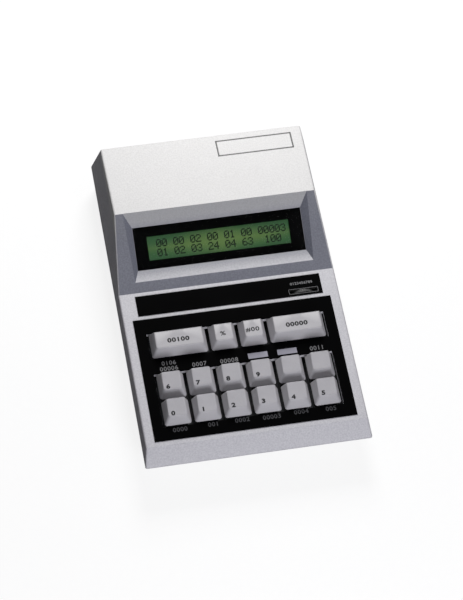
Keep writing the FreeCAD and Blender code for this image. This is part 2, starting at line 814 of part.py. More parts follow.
def switch_housing(x, y):
    floor = plate_z - board_below_plate
    top = plate_z + switch_height
    lower = block((x, y, (floor + plate_z) / 2), (switch_size, switch_size, board_below_plate))
    upper = tapered(x, y, (switch_size, plate_z), (switch_top, top))
    flange = block((x, y, plate_z + switch_flange_height / 2),
                   (switch_flange, switch_flange, switch_flange_height))
    hollow_width = switch_size - 2 * switch_wall
    roof_width = switch_top - 2 * switch_wall + plunger_room
    hollow = block((x, y, (floor + switch_wall + plate_z) / 2),
                   (hollow_width, hollow_width, board_below_plate - switch_wall))
    dome = tapered(x, y, (hollow_width, plate_z), (roof_width, top - switch_wall))
    throat = block((x, y, top), (plunger_shaft + 2 * slide_clearance,) * 2 + (2 * switch_wall + 1,))
    post = rod(spring_post, (x, y, floor + switch_wall - 0.5), (x, y, floor + switch_wall + spring_post_height))
    shell = lower.multiFuse([upper, flange]).cut(hollow.fuse(dome)).cut(throat).fuse(post)
    for cx, cy in contact_places(x, y):
        shell = shell.cut(rod(pin_radius + pin_clearance, (cx, cy, floor - 1), (cx, cy, floor + switch_wall + 0.2)))
    return shell.removeSplitter()


def switch_housings():
    return group([switch_housing(x, y) for _, x, y, _, _ in key_cells()])


def switch_contacts():
    """Two contact leaves in each switch, each with its pin through the key board."""
    floor = plate_z - board_below_plate
    contacts = []
    thickness, width, height = leaf
    for _, x, y, _, _ in key_cells():
        for cx, cy in contact_places(x, y):
            base = floor + switch_wall + leaf_gap
            pin = rod(pin_radius, (cx, cy, floor - board_thickness - pin_tail), (cx, cy, base + thickness))
            blade = block((cx, cy, base + height / 2), (thickness, width, height))
            contacts.append(pin.fuse(blade))
    return group(contacts)


def key_guides():
    """Round sockets in the plate that keep the two ends of each wide key level."""
    low = deck_z - guide_post_end - key_travel - guide_tube_spare
    high = deck_z - guide_tube_top
    flange_radius, flange_height = guide_flange
    sockets = []
    for _, x, y, units, _ in key_cells():
        for gx in guide_places(x, units):
            tube = fused(rod(guide_tube_radius, (gx, y, low), (gx, y, high)),
                         rod(flange_radius, (gx, y, plate_z), (gx, y, plate_z + flange_height)))
            sockets.append(tube.cut(rod(guide_post_radius + guide_clearance, (gx, y, low - 1), (gx, y, high + 1))))
    return group(sockets)


def spring_ends():
    bottom = plate_z - board_below_plate + switch_wall
    flange_under = plate_z + switch_height - switch_wall - stop_gap - plunger_flange_height
    return bottom, flange_under + spring_bore_depth


def plunger(x, y):
    """The sliding stem: a retaining flange, a square shaft and a cross tip for the cap."""
    roof = plate_z + switch_height - switch_wall
    flange_top = roof - stop_gap
    flange_under = flange_top - plunger_flange_height
    shoulder = deck_z + boss_bottom
    tip = deck_z + stem_top
    arm, width = stem_cross
    flange = block((x, y, (flange_top + flange_under) / 2),
                   (plunger_flange, plunger_flange, plunger_flange_height))
    shaft = block((x, y, (flange_under + shoulder) / 2), (plunger_shaft, plunger_shaft, shoulder - flange_under))
    bars = [block((x, y, (shoulder + tip) / 2), size + (tip - shoulder,)) for size in ((arm, width), (width, arm))]
    body = fused(flange, shaft, *bars)
    return body.cut(rod(spring_bore, (x, y, flange_under - 1), (x, y, spring_ends()[1])))


def coil_spring():
    """A coil over the origin, its wire laid as short straight runs."""
    low, high = spring_ends()
    low, high = low + spring_wire / 2 + spring_seat, high - spring_wire / 2 - spring_seat
    turns = (high - low) / spring_pitch
    runs = round(turns * spring_runs)
    points = []
    for i in range(runs + 1):
        turn = 2 * math.pi * turns * i / runs
        points.append(Vector(spring_radius * math.cos(turn), spring_radius * math.sin(turn),
                             low + (high - low) * i / runs))
    ring = Part.Wire(Part.makeCircle(spring_wire / 2, points[0], points[1] - points[0]))
    mitred = 1
    return Part.makePolygon(points).makePipeShell([ring], True, False, mitred)


def key_springs():
    spring = coil_spring()
    return group([spring.translated(Vector(x, y, 0)) for _, x, y, _, _ in key_cells()])


def rounded_ring(x, y_limits, z_limits, half, corner):
    """A rounded rectangle that leans in Z from its front edge to its rear edge."""
    (y0, y1), (z0, z1) = y_limits, z_limits

    def at(px, py):
        return Vector(x + px, py, z0 + (z1 - z0) * (py - y0) / (y1 - y0))
    near = corner * (1 - math.sqrt(0.5))
    edges = []
    corners = [(1, y0, 1), (1, y1, -1), (-1, y1, -1), (-1, y0, 1)]
    ring = []
    for side, y, inward in corners:
        along_y = (at(side * half, y + inward * corner),
                   at(side * (half - near), y + inward * near),
                   at(side * (half - corner), y))
        ring.append(along_y if side * inward < 0 else along_y[::-1])
    for i, arc in enumerate(ring):
        edges.append(Part.Arc(*arc).toShape())
        following = ring[(i + 1) % len(ring)]
        edges.append(Part.makeLine(arc[-1], following[0]))
    return Part.Wire(edges)


def keycap(x, y, units, top):
    """A hollow cap: drafted sides from the skirt to a leaning top, and a socket for the stem."""
    front_y_top, front_z, rear_y_top, top_inset = top
    spread = (units - 1) * key_pitch / 2
    skirt = skirt_size / 2
    half_top = key_pitch / 2 - top_inset
    bottom_z = deck_z - skirt_drop

    def ring(edge, drop, level):
        if level == "skirt":
            reach = skirt - edge
            return rounded_ring(x, (y - reach, y + reach), (bottom_z - drop,) * 2,
                                reach + spread, cap_corner * 0.6)
        limits = (y + front_y_top + edge, y + rear_y_top - edge)
        heights = (deck_z + front_z - drop, deck_z + cap_height - drop)
        return rounded_ring(x, limits, heights, half_top + spread - edge, cap_corner)
    outer = Part.makeLoft([ring(0, 0, "skirt"), ring(0, 0, "top")], True, True)
    inner = Part.makeLoft([ring(cap_wall, 0.01, "skirt"), ring(cap_wall, cap_roof, "top")], True, True)
    posts = [rod(boss_radius, (x, y, deck_z + boss_bottom), (x, y, deck_z + cap_height))]
    for gx in guide_places(x, units):
        posts.append(rod(guide_post_radius, (gx, y, deck_z - guide_post_end), (gx, y, deck_z + cap_height)))
    limit = outer.fuse(box((x - 2 * key_pitch, x + 2 * key_pitch), (y - skirt + cap_wall, y + skirt - cap_wall),
                           (deck_z - guide_post_end, deck_z - skirt_drop + 0.2)))
    posts = [post.common(limit) for post in posts]
    cap = outer.cut(inner).multiFuse(posts)
    arm, width = [size + 2 * stem_clearance for size in stem_cross]
    low, high = deck_z + boss_bottom - 1, deck_z + stem_top + stem_clearance
    for size in ((arm, width), (width, arm)):
        cap = cap.cut(block((x, y, (low + high) / 2), size + (high - low,)))
    return cap.removeSplitter()


# Main board
def main_board():
    board = box(main_board_x, main_board_y, (main_board_z - board_thickness, main_board_z))
    for x, y in main_screw_places():
        board = board.cut(rod(screw_shank + case_screw_clearance, (x, y, 0), (x, y, 2 * main_board_z)))
    return board


def on_board(spot, size):
    """A block standing on the main board, its middle at a spot from the board's corner."""
    x, y = main_board_x[0] + spot[0], main_board_y[0] + spot[1]
    return block((x, y, main_board_z + size[2] / 2), size)


def chip(spot_x, spot_y, length, width, pins):
    """A chip in a flat package with two rows of legs, its long side along Y."""
    x, y = main_board_x[0] + spot_x, main_board_y[0] + spot_y
    body = block((x, y, main_board_z + chip_lift + chip_height / 2), (width, length, chip_height))
    first = y - (pins / 2 - 1) * leg_pitch / 2
    reach = width / 2 + leg_size[0] / 2 - leg_overlap
    legs = [block((x + side * reach, first + i * leg_pitch, main_board_z + leg_size[2] / 2), leg_size)
            for i in range(pins // 2) for side in (-1, 1)]
    return fused(body, *legs)


def ribbon_header(x):
    """The socket at the front edge of the main board that a ribbon runs into."""
    half = ribbon_width / 2 + header_rim / 2
    front = main_board_y[0] + header_front_gap
    return box((x - half, x + half), (front, front + header_depth), (main_board_z, ribbon_z + header_rim))


def board_components():
    parts = [chip(*place) for place in chips]
    for spot_x, spot_y, radius, height in capacitors:
        x, y = main_board_x[0] + spot_x, main_board_y[0] + spot_y
        parts.append(rod(radius, (x, y, main_board_z), (x, y, main_board_z + height)))
    parts.append(on_board(crystal_spot, crystal_size))
    behind = (regulator_case[0] - regulator_tab[0]) / 2
    tab_spot = (regulator_spot[0] + behind, regulator_spot[1])
    parts.append(fused(on_board(regulator_spot, regulator_case), on_board(tab_spot, regulator_tab)))
    parts += [ribbon_header(key_ribbon_x), ribbon_header(lcd_ribbon_x)]
    reach = header_depth / 2
    parts.append(box((main_board_x[1] - header_depth, main_board_x[1]), (lead_y - reach, lead_y + reach),
                     (main_board_z, switch_z + header_rim)))
    return group(parts)


def beeper():
    x, y = main_board_x[0] + beeper_spot[0], main_board_y[0] + beeper_spot[1]
    radius, height = beeper_size
    port_radius, port_depth = beeper_port
    top = main_board_z + height
    case = rod(radius, (x, y, main_board_z), (x, y, top))
    return case.cut(rod(port_radius, (x, y, top - port_depth), (x, y, top + 1)))


def bent_strip(start, heading, first, turn, radius, last, thickness):
    """A flat strip seen edge on: a straight, one arc and a straight. Angles in degrees."""
    def unit(angle):
        return Vector(math.cos(math.radians(angle)), math.sin(math.radians(angle)), 0)
    side = 1 if turn > 0 else -1
    origin = Vector(start[0], start[1], 0)
    bend = origin + unit(heading) * first
    centre = bend + unit(heading + 90 * side) * radius
    half = thickness / 2
    rails = []
    for offset in (-half, half):
        reach = radius + offset
        spots = [centre - unit(heading + share * turn + 90 * side) * reach for share in (0, 0.5, 1)]
        begin = spots[0] - unit(heading) * first
        end = spots[2] + unit(heading + turn) * last
        rails.append((begin, spots, end))
    (a0, a_arc, a1), (b0, b_arc, b1) = rails
    return Part.Face(Part.Wire([
        Part.makeLine(a0, a_arc[0]), Part.Arc(*a_arc).toShape(), Part.makeLine(a_arc[2], a1),
        Part.makeLine(a1, b1), Part.makeLine(b1, b_arc[2]), Part.Arc(*b_arc[::-1]).toShape(),
        Part.makeLine(b_arc[0], b0), Part.makeLine(b0, a0)]))


def upright(face, x_middle, width):
    """Turns a strip drawn in X and Y into the Y and Z plane and gives it its width along X."""
    solid = face.extrude(Vector(0, 0, width))
    turned = solid.copy()
    turned.transformShape(FreeCAD.Matrix(0, 0, 1, x_middle - width / 2, 1, 0, 0, 0, 0, 1, 0, 0, 0, 0, 0, 1))
    return turned


def ribbon(x, start, heading, radius):
    """A ribbon that leaves a board along heading, bends level and runs back into its header."""
    turn = -heading
    drop = start[1] - ribbon_z
    bend_drop = radius * (1 - math.cos(math.radians(turn)))
    first = (drop - bend_drop) / math.sin(math.radians(turn))
    bend_y = start[0] + first * math.cos(math.radians(turn)) + radius * math.sin(math.radians(turn))
    last = main_board_y[0] + header_front_gap - bend_y
    return upright(bent_strip(start, heading, first, turn, radius, last, ribbon_thickness), x, ribbon_width)


def internal_cables():
    """Two ribbons from the main board, to the display and to the keys, and the switch's lead."""
    back = lcd_stack()[-1] - board_thickness
    across, up = math.cos(math.radians(slope_angle)), math.sin(math.radians(slope_angle))
    lcd_start = (deck_rear + lcd_ribbon_s * across - back * up, deck_z + lcd_ribbon_s * up + back * across)
    key_start = (from_deck(key_board_rear) - key_ribbon_inset, key_board_z - board_thickness)
    lead_start = panel_face_y - rocker_body[2]
    first = lead_start - lead_y - lead_bend
    lead = bent_strip((switch_x, lead_start), -90, first, -90, lead_bend,
                      switch_x - lead_bend - main_board_x[1], lead_thickness)
    lead_solid = lead.extrude(Vector(0, 0, lead_width))
    lead_solid.translate(Vector(0, 0, switch_z - lead_width / 2))
    return group([ribbon(lcd_ribbon_x, lcd_start, slope_angle - 90, lcd_ribbon_bend),
                  ribbon(key_ribbon_x, key_start, -90, key_ribbon_bend), lead_solid])


# Rear panel
def dc_inlet():
    width, depth, height = inlet_body
    z = main_board_z + height / 2
    body = box((inlet_x - width / 2, inlet_x + width / 2), (panel_inner_y - depth, panel_inner_y),
               (main_board_z, main_board_z + height))
    bottom = panel_inner_y - inlet_bore_depth
    body = body.cut(rod(inlet_bore, (inlet_x, bottom, z), (inlet_x, panel_inner_y + 1, z)))
    pin = rod(inlet_pin, (inlet_x, bottom, z), (inlet_x, panel_inner_y - inlet_pin_sunk, z))
    return group([body, pin])


def pivot_y():
    return panel_face_y - rocker_depth


def power_switch_body():
    width, height, thickness = rocker_frame
    frame = block((switch_x, panel_face_y + thickness / 2, switch_z), (width, thickness, height))
    body = block((switch_x, panel_face_y - rocker_body[2] / 2, switch_z),
                 (rocker_body[0], rocker_body[2], rocker_body[1]))
    rear = panel_face_y - rocker_body[2]
    floor = rear + rocker_floor
    cavity = box((switch_x - rocker_cavity[0] / 2, switch_x + rocker_cavity[0] / 2),
                 (floor, panel_face_y + thickness + 1),
                 (switch_z - rocker_cavity[1] / 2, switch_z + rocker_cavity[1] / 2))
    reach = rocker_pin_reach + rocker_pin_gap
    pin_hole = rod(rocker_pin + shaft_clearance, (switch_x, pivot_y(), switch_z - reach),
                   (switch_x, pivot_y(), switch_z + reach))
    shell = frame.fuse(body).cut(cavity).cut(pin_hole)
    blade_y = rear + rocker_blade_sink - rocker_blade[1] / 2
    for side in (-1, 1):
        shell = shell.fuse(block((switch_x + side * rocker_blade_offset, blade_y, switch_z), rocker_blade))
    return shell.removeSplitter()


def power_rocker():
    """The rocker at its off position, turned back by its angle about the pivot."""
    end = rocker_face + rocker_half_length * math.tan(math.radians(rocker_angle))
    shape = [(-rocker_half_length, -rocker_back), (rocker_half_length, -rocker_back),
             (rocker_half_length, end), (0, rocker_face), (-rocker_half_length, end)]
    y = pivot_y()
    face = outline([(switch_x + u, y + t, switch_z - rocker_half_height) for u, t in shape])
    body = face.extrude(Vector(0, 0, 2 * rocker_half_height))
    pin = rod(rocker_pin, (switch_x, y, switch_z - rocker_pin_reach), (switch_x, y, switch_z + rocker_pin_reach))
    body = body.fuse(pin).removeSplitter()
    body.rotate(Vector(switch_x, y, switch_z), Vector(0, 0, 1), -rocker_angle)
    return body


def all_parts():
    parts = {
        "top_cover": top_cover(), "base_tray": base_tray(), "rubber_feet": rubber_feet(),
        "case_screws": case_screws(), "board_screws": board_screws(),
        "keypad_overlay": keypad_overlay(), "strip_overlay": strip_overlay(),
        "display_window": display_window(), "display_mask": display_mask(),
        "lcd_bezel": lcd_bezel(), "lcd_glass": lcd_glass(), "lcd_backlight": lcd_backlight(),
        "lcd_board": lcd_board(), "contrast_wheel": contrast_wheel(), "contrast_pot": contrast_pot(),
        "key_plate": key_plate(), "key_board": key_board(), "switch_housings": switch_housings(),
        "switch_contacts": switch_contacts(), "key_guides": key_guides(), "key_springs": key_springs(),
        "main_board": main_board(), "board_components": board_components(), "beeper": beeper(),
        "dc_inlet": dc_inlet(), "power_switch_body": power_switch_body(), "power_rocker": power_rocker(),
        "internal_cables": internal_cables(),
    }
    for name, x, y, units, top in key_cells():
        parts["keycap_" + name] = keycap(x, y, units, top)
        parts["plunger_" + name] = plunger(x, y)
    return parts


os.makedirs("parts", exist_ok=True)
for node, shape in all_parts().items():
    shape.exportStep("parts/" + node + ".step")
    print(node, len(shape.Solids), shape.isValid(), round(shape.Volume, 1))
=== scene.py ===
import math

import bmesh
import bpy
from mathutils import Matrix, Vector


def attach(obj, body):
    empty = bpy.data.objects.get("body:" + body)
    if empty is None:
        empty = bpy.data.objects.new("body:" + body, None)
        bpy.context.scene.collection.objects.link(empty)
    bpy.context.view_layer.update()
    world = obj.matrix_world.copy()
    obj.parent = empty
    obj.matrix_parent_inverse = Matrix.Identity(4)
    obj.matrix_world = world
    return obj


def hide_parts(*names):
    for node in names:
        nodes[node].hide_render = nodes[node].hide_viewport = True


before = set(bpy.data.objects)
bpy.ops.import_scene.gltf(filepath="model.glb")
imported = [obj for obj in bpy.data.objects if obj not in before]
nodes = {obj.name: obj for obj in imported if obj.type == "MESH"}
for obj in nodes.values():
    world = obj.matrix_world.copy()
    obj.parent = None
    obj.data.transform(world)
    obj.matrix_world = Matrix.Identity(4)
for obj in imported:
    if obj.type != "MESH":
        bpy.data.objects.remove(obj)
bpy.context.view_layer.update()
mm = 0.001


# The view: a long lens looks down on the keys from the front and a little to the left. Its place
# and turn were fitted to corners of the case, the films and the keys.
view = bpy.data.cameras.new("view")
view.lens = 148.096
camera = bpy.data.objects.new("camera", view)
camera.location = (-0.206576, -0.785278, 1.393511)
camera.rotation_euler = [math.radians(turn) for turn in (30.47786, -2.79088, -10.19093)]
bpy.context.scene.collection.objects.link(camera)
bpy.context.scene.camera = camera


# The table: a plain sheet of pale paper under the case. It gives little light back to the case,
# and the camera sees it as white paper that still takes the case's shadow.
class Wire:
    """An output of a material's node. Sums on it become Math nodes."""

    def __init__(self, socket):
        self.socket = socket

    def node(self, kind, settings, sockets, output=0):
        """Adds a shader node: first its settings, then the values or wires of its sockets."""
        made = self.socket.id_data.nodes.new("ShaderNode" + kind)
        for name, value in settings.items():
            setattr(made, name, value)
        for name, value in sockets.items():
            self.feed(made.inputs[name], value)
        return Wire(made.outputs[output])

    def feed(self, socket, value):
        """Gives a socket a wire, a colour or a number."""
        if isinstance(value, Wire):
            self.socket.id_data.links.new(value.socket, socket)
        elif isinstance(value, tuple) and socket.type == "RGBA":
            socket.default_value = (*value, 1)
        else:
            socket.default_value = value

    def sum(self, operation, *values):
        return self.node("Math", {"operation": operation}, dict(enumerate(values)))

    def __add__(self, other):
        return self.sum("ADD", self, other)

    def __sub__(self, other):
        return self.sum("SUBTRACT", self, other)

    def __rsub__(self, other):
        return self.sum("SUBTRACT", other, self)

    def __mul__(self, other):
        return self.sum("MULTIPLY", self, other)

    __radd__ = __add__
    __rmul__ = __mul__

    def size(self):
        """The value without its sign."""
        return self.sum("ABSOLUTE", self)

    def highest(self, other):
        return self.sum("MAXIMUM", self, other)

    def along(self, axis):
        """One coordinate of this place: X, Y or Z."""
        return self.node("SeparateXYZ", {}, {"Vector": self}, axis)

    def above(self, edge, blur):
        """0 below the edge and 1 above it, with a soft step blur wide."""
        return self.node("MapRange", {"interpolation_type": "SMOOTHSTEP"},
                         {"Value": self, "From Min": edge - blur / 2, "From Max": edge + blur / 2})

    def blend(self, low, high):
        """The colour low where this is 0 and high where it is 1."""
        return self.node("Mix", {"data_type": "RGBA"}, {0: self, 6: low, 7: high}, 2)

    def noise(self, size, detail):
        """Cloudy noise with lumps of about the given size, read at this place."""
        return self.node("TexNoise", {}, {"Vector": self, "Scale": 1 / size, "Detail": detail})


def new_finish(name, **settings):
    """A material with plain settings on its main shader, and the piece's own coordinates."""
    material = bpy.data.materials.new(name)
    material.use_nodes = True
    shader = material.node_tree.nodes["Principled BSDF"]
    place = Wire(material.node_tree.nodes.new("ShaderNodeTexCoord").outputs["Object"])
    for label, value in settings.items():
        place.feed(shader.inputs[label.replace("_", " ").title().replace("Ior", "IOR")], value)
    return material, shader, place


def lay_finish(shader, colour, roughness=None, grain=None, strength=0.0, depth=0.0):
    """Feeds a shader its colour and, where they are given, its roughness and a bump from a grain."""
    colour.feed(shader.inputs["Base Color"], colour)
    if roughness:
        roughness.feed(shader.inputs["Roughness"], roughness)
    if grain:
        relief = grain.node("Bump", {}, {"Height": grain, "Strength": strength, "Distance": depth})
        grain.feed(shader.inputs["Normal"], relief)


def wear(material, *pieces):
    """Puts a material on CAD nodes or on new pieces."""
    for piece in pieces:
        piece = nodes.get(piece, piece)
        piece.data.materials.clear()
        piece.data.materials.append(material)


sheet_side = 6.0
sheet_light, sheet_dark = (0.18, 0.18, 0.18), (0.15, 0.15, 0.155)
unseen_black, paper_white = (0.0, 0.0, 0.0), (0.86, 0.86, 0.86)
bpy.ops.object.select_all(action="DESELECT")
bpy.ops.mesh.primitive_plane_add(size=sheet_side, location=(0, 0, 0))
table = bpy.context.object
table.name = "table"
pale_paper, shader, place = new_finish(
    "pale_paper", roughness=0.9, specular_ior_level=0.1, emission_strength=1.0)
fibre = place.noise(4 * mm, 3.0)
lay_finish(shader, fibre.blend(sheet_dark, sheet_light))
sight = place.node("LightPath", {}, {}, "Is Camera Ray")
place.feed(shader.inputs["Emission Color"], sight.blend(unseen_black, paper_white))
wear(pale_paper, table)


# The studio: a soft box hangs behind and above, and a white card stands in front. The room is
# dim, but looks white to the camera, in gloss and through clear pieces.
def soft_box(name, place, target, size, watts, colour):
    lamp = bpy.data.lights.new(name, "AREA")
    lamp.shape, lamp.size, lamp.size_y = "RECTANGLE", *size
    lamp.energy, lamp.color = watts, colour
    box = bpy.data.objects.new(name, lamp)
    box.location = place
    box.rotation_euler = (Vector(target) - Vector(place)).to_track_quat("-Z", "Y").to_euler()
    bpy.context.scene.collection.objects.link(box)


soft_box("rear_box", place=(0.07, 0.44, 0.48), target=(0.0, 0.03, 0.04), size=(0.22, 0.30),
         watts=3.5, colour=(1.0, 0.995, 0.985))
soft_box("front_card", place=(0.08, -0.75, 0.34), target=(0.0, -0.05, 0.02), size=(0.26, 0.40),
         watts=3.7, colour=(0.96, 0.96, 1.0))

room_grey, room_white = (0.030, 0.030, 0.033), (1.0, 1.0, 1.0)
room = bpy.data.worlds.new("room")
room.use_nodes = True
bpy.context.scene.world = room
backing = room.node_tree.nodes["Background"]
sight = Wire(room.node_tree.nodes.new("ShaderNodeLightPath").outputs["Is Camera Ray"])
glossy = sight.node("LightPath", {}, {}, "Is Glossy Ray")
passing = sight.node("LightPath", {}, {}, "Is Transmission Ray")
seen = sight.highest(glossy.highest(passing))
seen.feed(backing.inputs["Color"], seen.blend(room_grey, room_white))


# The lower tray: moulded in the same grey plastic as the cover, with a fine spark grain. Its four
# feet are black rubber, pressed into round seats underneath.
def grained_plastic(name, light, dark, grain, strength, roughness, **settings):
    """Moulded plastic: two close tones in clouds, a fine grain, and roughness that varies a little."""
    material, shader, place = new_finish(name, **settings)
    clouds = place.noise(14 * mm, 3.0)
    speck = place.noise(grain, 4.0)
    tone = clouds * 0.35 + speck * 0.65
    lay_finish(shader, tone.blend(dark, light), roughness - 0.06 + clouds * 0.12, speck, strength, 0.1 * mm)
    return material


wear(grained_plastic("tray_plastic", light=(0.56, 0.56, 0.58), dark=(0.44, 0.44, 0.46),
                     grain=0.6 * mm, strength=0.5, roughness=0.55), "base_tray")
wear(grained_plastic("foot_rubber", light=(0.035, 0.034, 0.033), dark=(0.018, 0.018, 0.018),
                     grain=0.9 * mm, strength=0.4, roughness=0.82), "rubber_feet")


# The boards: green lacquer over glass cloth, the copper runs just showing through. The main board
# is screwed to the tray, and the other two to the cover. What they carry is black moulded plastic.
lacquer_light, lacquer_dark = (0.016, 0.115, 0.050), (0.010, 0.085, 0.035)
copper_green = (0.03, 0.19, 0.08)
board_lacquer, shader, place = new_finish("board_lacquer", coat_weight=0.4, coat_roughness=0.15)
runs = place.node("TexBrick", {"offset": 0.37, "squash": 1.0}, {
    "Vector": place, "Scale": 120.0, "Mortar Size": 0.09, "Brick Width": 0.9, "Row Height": 0.3}, "Fac")
cloth = place.noise(0.5 * mm, 2.0)
lay_finish(shader, runs.blend(cloth.blend(lacquer_dark, lacquer_light), copper_green), 0.34 + cloth * 0.12)
wear(board_lacquer, "main_board", "key_board", "lcd_board")
wear(grained_plastic("black_mould", light=(0.030, 0.030, 0.031), dark=(0.016, 0.016, 0.017),
                     grain=0.5 * mm, strength=0.35, roughness=0.5),
     "switch_housings", "key_guides", "contrast_pot", "dc_inlet", "power_switch_body",
     "board_components", "beeper")


# The cables inside: flat grey ribbon with a ridge over each wire. They are folded between the
# boards' headers and lie clear of the keys.
vinyl_light, vinyl_dark = (0.44, 0.44, 0.45), (0.26, 0.26, 0.27)
ribbon_vinyl, shader, place = new_finish("ribbon_vinyl", roughness=0.45)
wires = place.node("TexWave", {"wave_type": "BANDS", "bands_direction": "X"},
                   {"Vector": place, "Scale": 250.0})
lay_finish(shader, wires.blend(vinyl_dark, vinyl_light), grain=wires, strength=0.6, depth=0.2 * mm)
wear(ribbon_vinyl, "internal_cables")


# The metal pieces: zinc plated screws, springs of drawn steel wire, a key plate painted black as painted
# shade in the gaps between the keys, and brass contact leaves. All are brushed or drawn, so their scratches
# run one way.
def brushed_metal(name, light, dark, roughness):
    """Metal with fine streaks in its tone, its roughness and its relief."""
    material, shader, place = new_finish(name, metallic=1.0)
    streaks = place.node("Mapping", {"vector_type": "POINT"},
                         {"Vector": place, "Scale": (1.0, 1.0, 9.0)}).noise(1.2 * mm, 5.0)
    lay_finish(shader, streaks.blend(dark, light), roughness - 0.1 + streaks * 0.2,
               streaks, 0.25, 0.05 * mm)
    return material


wear(brushed_metal("screw_steel", light=(0.72, 0.72, 0.70), dark=(0.50, 0.50, 0.49), roughness=0.38),
     "case_screws", "board_screws")
wear(brushed_metal("spring_steel", light=(0.66, 0.66, 0.66), dark=(0.48, 0.48, 0.48), roughness=0.32),
     "key_springs")
# Painted shade: the key plate is near black so that the gaps between the keys look dark.
wear(brushed_metal("plate_steel", light=(0.030, 0.030, 0.032), dark=(0.016, 0.016, 0.018), roughness=0.55),
     "key_plate")
wear(brushed_metal("contact_brass", light=(0.85, 0.65, 0.30), dark=(0.66, 0.48, 0.20), roughness=0.34),
     "switch_contacts")


# The plungers: natural nylon, a little glossy where they slide. Each is held under the roof of its
# switch, and its cross tip stands up into the cap.
wear(grained_plastic("plunger_plastic", light=(0.60, 0.59, 0.55), dark=(0.50, 0.49, 0.46),
                     grain=0.8 * mm, strength=0.15, roughness=0.45),
     *[name for name in nodes if name.startswith("plunger_")])


# The top cover: one shell moulded in light grey plastic with a fine spark grain. Its sloped
# display face is a darker blue grey, partly its own tone and partly painted shade; the walls of the
# sunk bay carry that blue grey as painted shade, darkest deep in the lower wall. The raised top is
# painted a little whiter as a painted sheen, and the walls of the contrast wheel's slot are painted
# black as painted shade.
deck, slope_foot = 31.3 * mm, 6.7 * mm      # the height of the key deck, and Y where the slope starts
slope_angle = math.atan2(21.0, 48.0)
face_low, face_high = 0.15 * mm, 52.25 * mm     # up the slope from its foot
window_low, window_high = 14.8 * mm, 42.9 * mm
bay_half_width, window_half_width = 61.3 * mm, 55.3 * mm
lean_below, lean_above = 0.38, 0.54     # how the bay's end walls lean out below and above the window
slot_middle, slot_half = (47.875 * mm, -7.15 * mm), (9.3 * mm, 1.7 * mm)
crisp = 0.2 * mm
# Painted sheen: the raised top's tones are whiter than the deck's, standing in for the sheen it catches.
white_sheen_light, white_sheen_dark = (0.78, 0.775, 0.775), (0.64, 0.635, 0.635)
deck_light, deck_dark = (0.68, 0.675, 0.71), (0.50, 0.495, 0.535)
# Painted shade: a blue grey for the display face, partly the face's own tone, and for the bay's walls.
blue_shade_light, blue_shade_dark = (0.165, 0.172, 0.212), (0.098, 0.104, 0.134)
# Painted shade: near black for the walls of the wheel's slot.
slot_shade_light, slot_shade_dark = (0.020, 0.020, 0.020), (0.010, 0.010, 0.010)

case_plastic, shader, place = new_finish("case_plastic")
x, y, z = place.along("X"), place.along("Y"), place.along("Z")
run, rise = y - slope_foot, z - deck
up_slope = run * math.cos(slope_angle) + rise * math.sin(slope_angle)
out_of_slope = rise * math.cos(slope_angle) - run * math.sin(slope_angle)
on_face = up_slope.above(face_low, crisp) * (1 - up_slope.above(face_high, crisp))
skin = out_of_slope.above(-0.1 * mm, 0.1 * mm)
inside_bay = 1 - x.size().above(bay_half_width, 0.3 * mm)
lean = ((up_slope - window_high) * lean_above).highest((window_low - up_slope) * lean_below).highest(0.0)
ends = (x.size() - window_half_width - lean).above(0.0, crisp)
lower_wall = 1 - up_slope.above(20.0 * mm, 1.0 * mm)
deep = 1 - out_of_slope.above(-2.3 * mm, 4.5 * mm)
# Painted shade on the bay's walls: full on the end walls, about half on the upper wall, and on the lower
# wall more the deeper it lies.
walls = ends.highest(0.48 + lower_wall * (deep * 0.45 - 0.20))
display_face_and_shade = on_face * (skin * 0.93 + (1 - skin) * inside_bay * walls)
# Painted shade: the mask for the walls of the wheel's slot.
in_slot = (1 - (x - slot_middle[0]).size().above(slot_half[0], crisp)) * (
    1 - (y - slot_middle[1]).size().above(slot_half[1], crisp))
clouds, speck = place.noise(16 * mm, 3.0), place.noise(0.9 * mm, 3.0)
tone = clouds * 0.35 + speck.above(0.5, 0.45) * 0.65
# Painted sheen: the raised top, above about 46 mm, is painted whiter.
raised = z.above(46.0 * mm, 4.0 * mm)
grey_and_sheen = raised.blend(tone.blend(deck_dark, deck_light), tone.blend(white_sheen_dark, white_sheen_light))
moulded_and_shaded = display_face_and_shade.blend(grey_and_sheen, tone.blend(blue_shade_dark, blue_shade_light))
lay_finish(shader, in_slot.blend(moulded_and_shaded, tone.blend(slot_shade_dark, slot_shade_light)), 0.50 + clouds * 0.12,
           speck, 0.6, 0.12 * mm)
wear(case_plastic, "top_cover")


# The display: a liquid crystal panel lit from behind in a folded metal frame, screwed behind the
# bay. A clear window with a black printed mask lies over it.
green_middle, green_edge = (0.082, 0.146, 0.040), (0.022, 0.076, 0.026)
band_middle = 36.0 * mm                     # Y of the brightest line across the glass
lit_panel, shader, place = new_finish(
    "lit_panel", roughness=0.35, specular_ior_level=0.3, emission_strength=0.45)
sideways = (place.along("X") * 21.0).size()
ring = ((place.along("Y") - band_middle) * 140.0).size()
drift = place.noise(22 * mm, 1.0)
edge = (sideways * 0.62 + ring * 0.62 + drift * 0.3).above(0.68, 0.95)
green = edge.blend(green_middle, green_edge)
lay_finish(shader, green)
place.feed(shader.inputs["Emission Color"], green)
wear(lit_panel, "lcd_glass")
wear(grained_plastic("backlight_sheet", light=(0.80, 0.82, 0.70), dark=(0.74, 0.76, 0.66),
                     grain=2 * mm, strength=0.1, roughness=0.5), "lcd_backlight")
wear(brushed_metal("bezel_black", light=(0.05, 0.05, 0.052), dark=(0.03, 0.03, 0.032), roughness=0.5),
     "lcd_bezel")
wear(grained_plastic("mask_film", light=(0.0016, 0.0016, 0.0018), dark=(0.0008, 0.0008, 0.0009),
                     grain=0.8 * mm, strength=0.1, roughness=0.6, specular_ior_level=0.02), "display_mask")
